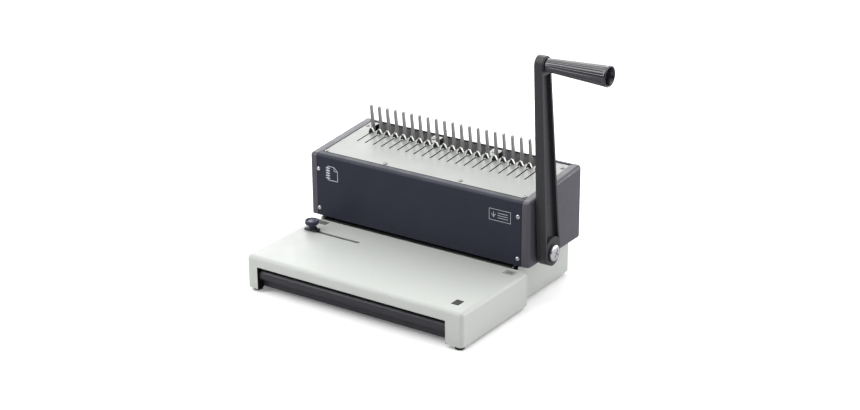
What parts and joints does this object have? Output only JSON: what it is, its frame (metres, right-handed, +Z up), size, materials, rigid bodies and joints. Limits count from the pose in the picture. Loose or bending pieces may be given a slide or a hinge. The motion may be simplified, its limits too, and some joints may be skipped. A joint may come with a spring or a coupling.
{
  "type": "comb binding machine",
  "caption": "Desktop comb binding machine: a grey base with a document table, a dark punch housing with a row of comb fingers on top, and a side lever with a fluted grip.",
  "frame": {"origin": "middle of the overall bounding box's footprint, lever and grip included, on the surface the feet stand on", "axes": "+X to the lever side along the comb, +Y to the rear, +Z up"},
  "size_m": [0.4792, 0.3056, 0.3617],
  "materials": {
    "cover_grey": "fine moulded texture, satin",
    "housing_paint": "dark blue-grey powder coat, satin",
    "end_cap_plastic": "moulded, satin",
    "lever_plastic": "glass-filled moulding, satin",
    "grip_plastic": "fluted, semi-gloss",
    "inlay_plastic": "fine ribs",
    "tray_plastic": "satin",
    "black_plastic": "satin",
    "knob_plastic": "navy, semi-gloss",
    "foot_rubber": "matt",
    "screw_chrome": "bright zinc or nickel plate",
    "bolt_chrome": "bright plated",
    "top_plate_paint": "light grey satin paint on steel",
    "comb_steel": "nickel plated, satin",
    "mechanism_steel": "zinc plated",
    "bearing_bronze": "sintered bronze"
  },
  "bodies": {
    "base": {"base_cover": "cover_grey", "rear_base": "cover_grey", "bottom_pan": "mechanism_steel", "foot_front_left": "foot_rubber", "foot_front_right": "foot_rubber", "foot_rear_left": "foot_rubber", "foot_rear_right": "foot_rubber", "scale_inlay_left": "inlay_plastic", "scale_inlay_right": "inlay_plastic", "frame_side_left": "mechanism_steel", "frame_side_right": "mechanism_steel", "frame_tie_bar": "mechanism_steel", "die_plate": "mechanism_steel", "punch_guide": "mechanism_steel", "shaft_bearing_left": "bearing_bronze", "shaft_bearing_right": "bearing_bronze", "end_cap_left": "end_cap_plastic", "end_cap_right": "end_cap_plastic", "housing_front": "housing_paint", "housing_rear": "housing_paint", "housing_floor": "housing_paint", "top_plate": "top_plate_paint", "comb_trough": "black_plastic", "comb_fingers": "comb_steel", "pivot_spacer": "black_plastic", "rocker_stud": "mechanism_steel", "panel_screw_upper_left": "screw_chrome", "panel_screw_lower_left": "screw_chrome", "panel_screw_upper_right": "screw_chrome", "panel_screw_lower_right": "screw_chrome", "plate_screw_front_1": "screw_chrome", "plate_screw_front_2": "screw_chrome", "plate_screw_front_3": "screw_chrome", "plate_screw_front_4": "screw_chrome", "plate_screw_rear_1": "screw_chrome", "plate_screw_rear_2": "screw_chrome", "plate_screw_rear_3": "screw_chrome", "plate_screw_rear_4": "screw_chrome"},
    "tray": {"chip_tray": "tray_plastic", "tray_front": "tray_plastic"},
    "release": {"tray_release_button": "black_plastic"},
    "guide": {"edge_guide": "black_plastic"},
    "knob": {"edge_guide_knob": "knob_plastic"},
    "shaft": {"punch_shaft": "mechanism_steel", "eccentric_left": "mechanism_steel", "eccentric_right": "mechanism_steel"},
    "lever": {"lever_arm": "lever_plastic", "lever_grip": "grip_plastic", "pivot_bolt": "bolt_chrome", "opener_shaft": "mechanism_steel", "opener_crank": "mechanism_steel"},
    "punch": {"punch_bar": "mechanism_steel", "punch_carrier": "mechanism_steel", "punch_yoke_left": "mechanism_steel", "punch_yoke_right": "mechanism_steel"},
    "rocker": {"opener_rocker": "mechanism_steel"},
    "hooks": {"hook_rail": "comb_steel"}
  },
  "joints": [
    {"name": "punch_turn", "type": "hinge", "parent": "base", "child": "shaft", "pos_m": [-0.05835, 0.0467, 0.074], "axis": [1, 0, 0], "range_deg": [0, 80.2]},
    {"name": "open_turn", "type": "hinge", "parent": "shaft", "child": "lever", "pos_m": [-0.05835, 0.0467, 0.074], "axis": [1, 0, 0], "range_deg": [-60.2, 0]},
    {"name": "punch_stroke", "type": "slide", "parent": "base", "child": "punch", "axis": [0, 0, -1], "range_m": [0, 0.007]},
    {"name": "rocker_turn", "type": "hinge", "parent": "base", "child": "rocker", "pos_m": [-0.05835, 0.0467, 0.11213], "axis": [1, 0, 0], "range_deg": [0, 60.24]},
    {"name": "hook_slide", "type": "slide", "parent": "base", "child": "hooks", "axis": [0, -0.9957, -0.0925], "range_m": [0, 0.03314]},
    {"name": "tray_slide", "type": "slide", "parent": "base", "child": "tray", "axis": [0, -1, 0], "range_m": [0, 0.18]},
    {"name": "release_press", "type": "slide", "parent": "base", "child": "release", "axis": [0, 0, -1], "range_m": [0, 0.0025], "stiffness_N_per_m": 300, "springref_m": -0.002},
    {"name": "guide_slide", "type": "slide", "parent": "base", "child": "guide", "axis": [1, 0, 0], "range_m": [0, 0.08]},
    {"name": "knob_turn", "type": "hinge", "parent": "guide", "child": "knob", "pos_m": [-0.20385, -0.0333, 0.06], "axis": [0, 0, 1], "range_deg": [0, 270]}
  ],
  "couplings": [
    {"joint": "punch_turn", "follows": "punch_stroke", "rad_per_m": 199.47},
    {"joint": "open_turn", "follows": "hook_slide", "rad_per_m": -31.597},
    {"joint": "rocker_turn", "follows": "hook_slide", "rad_per_m": 31.568}
  ]
}
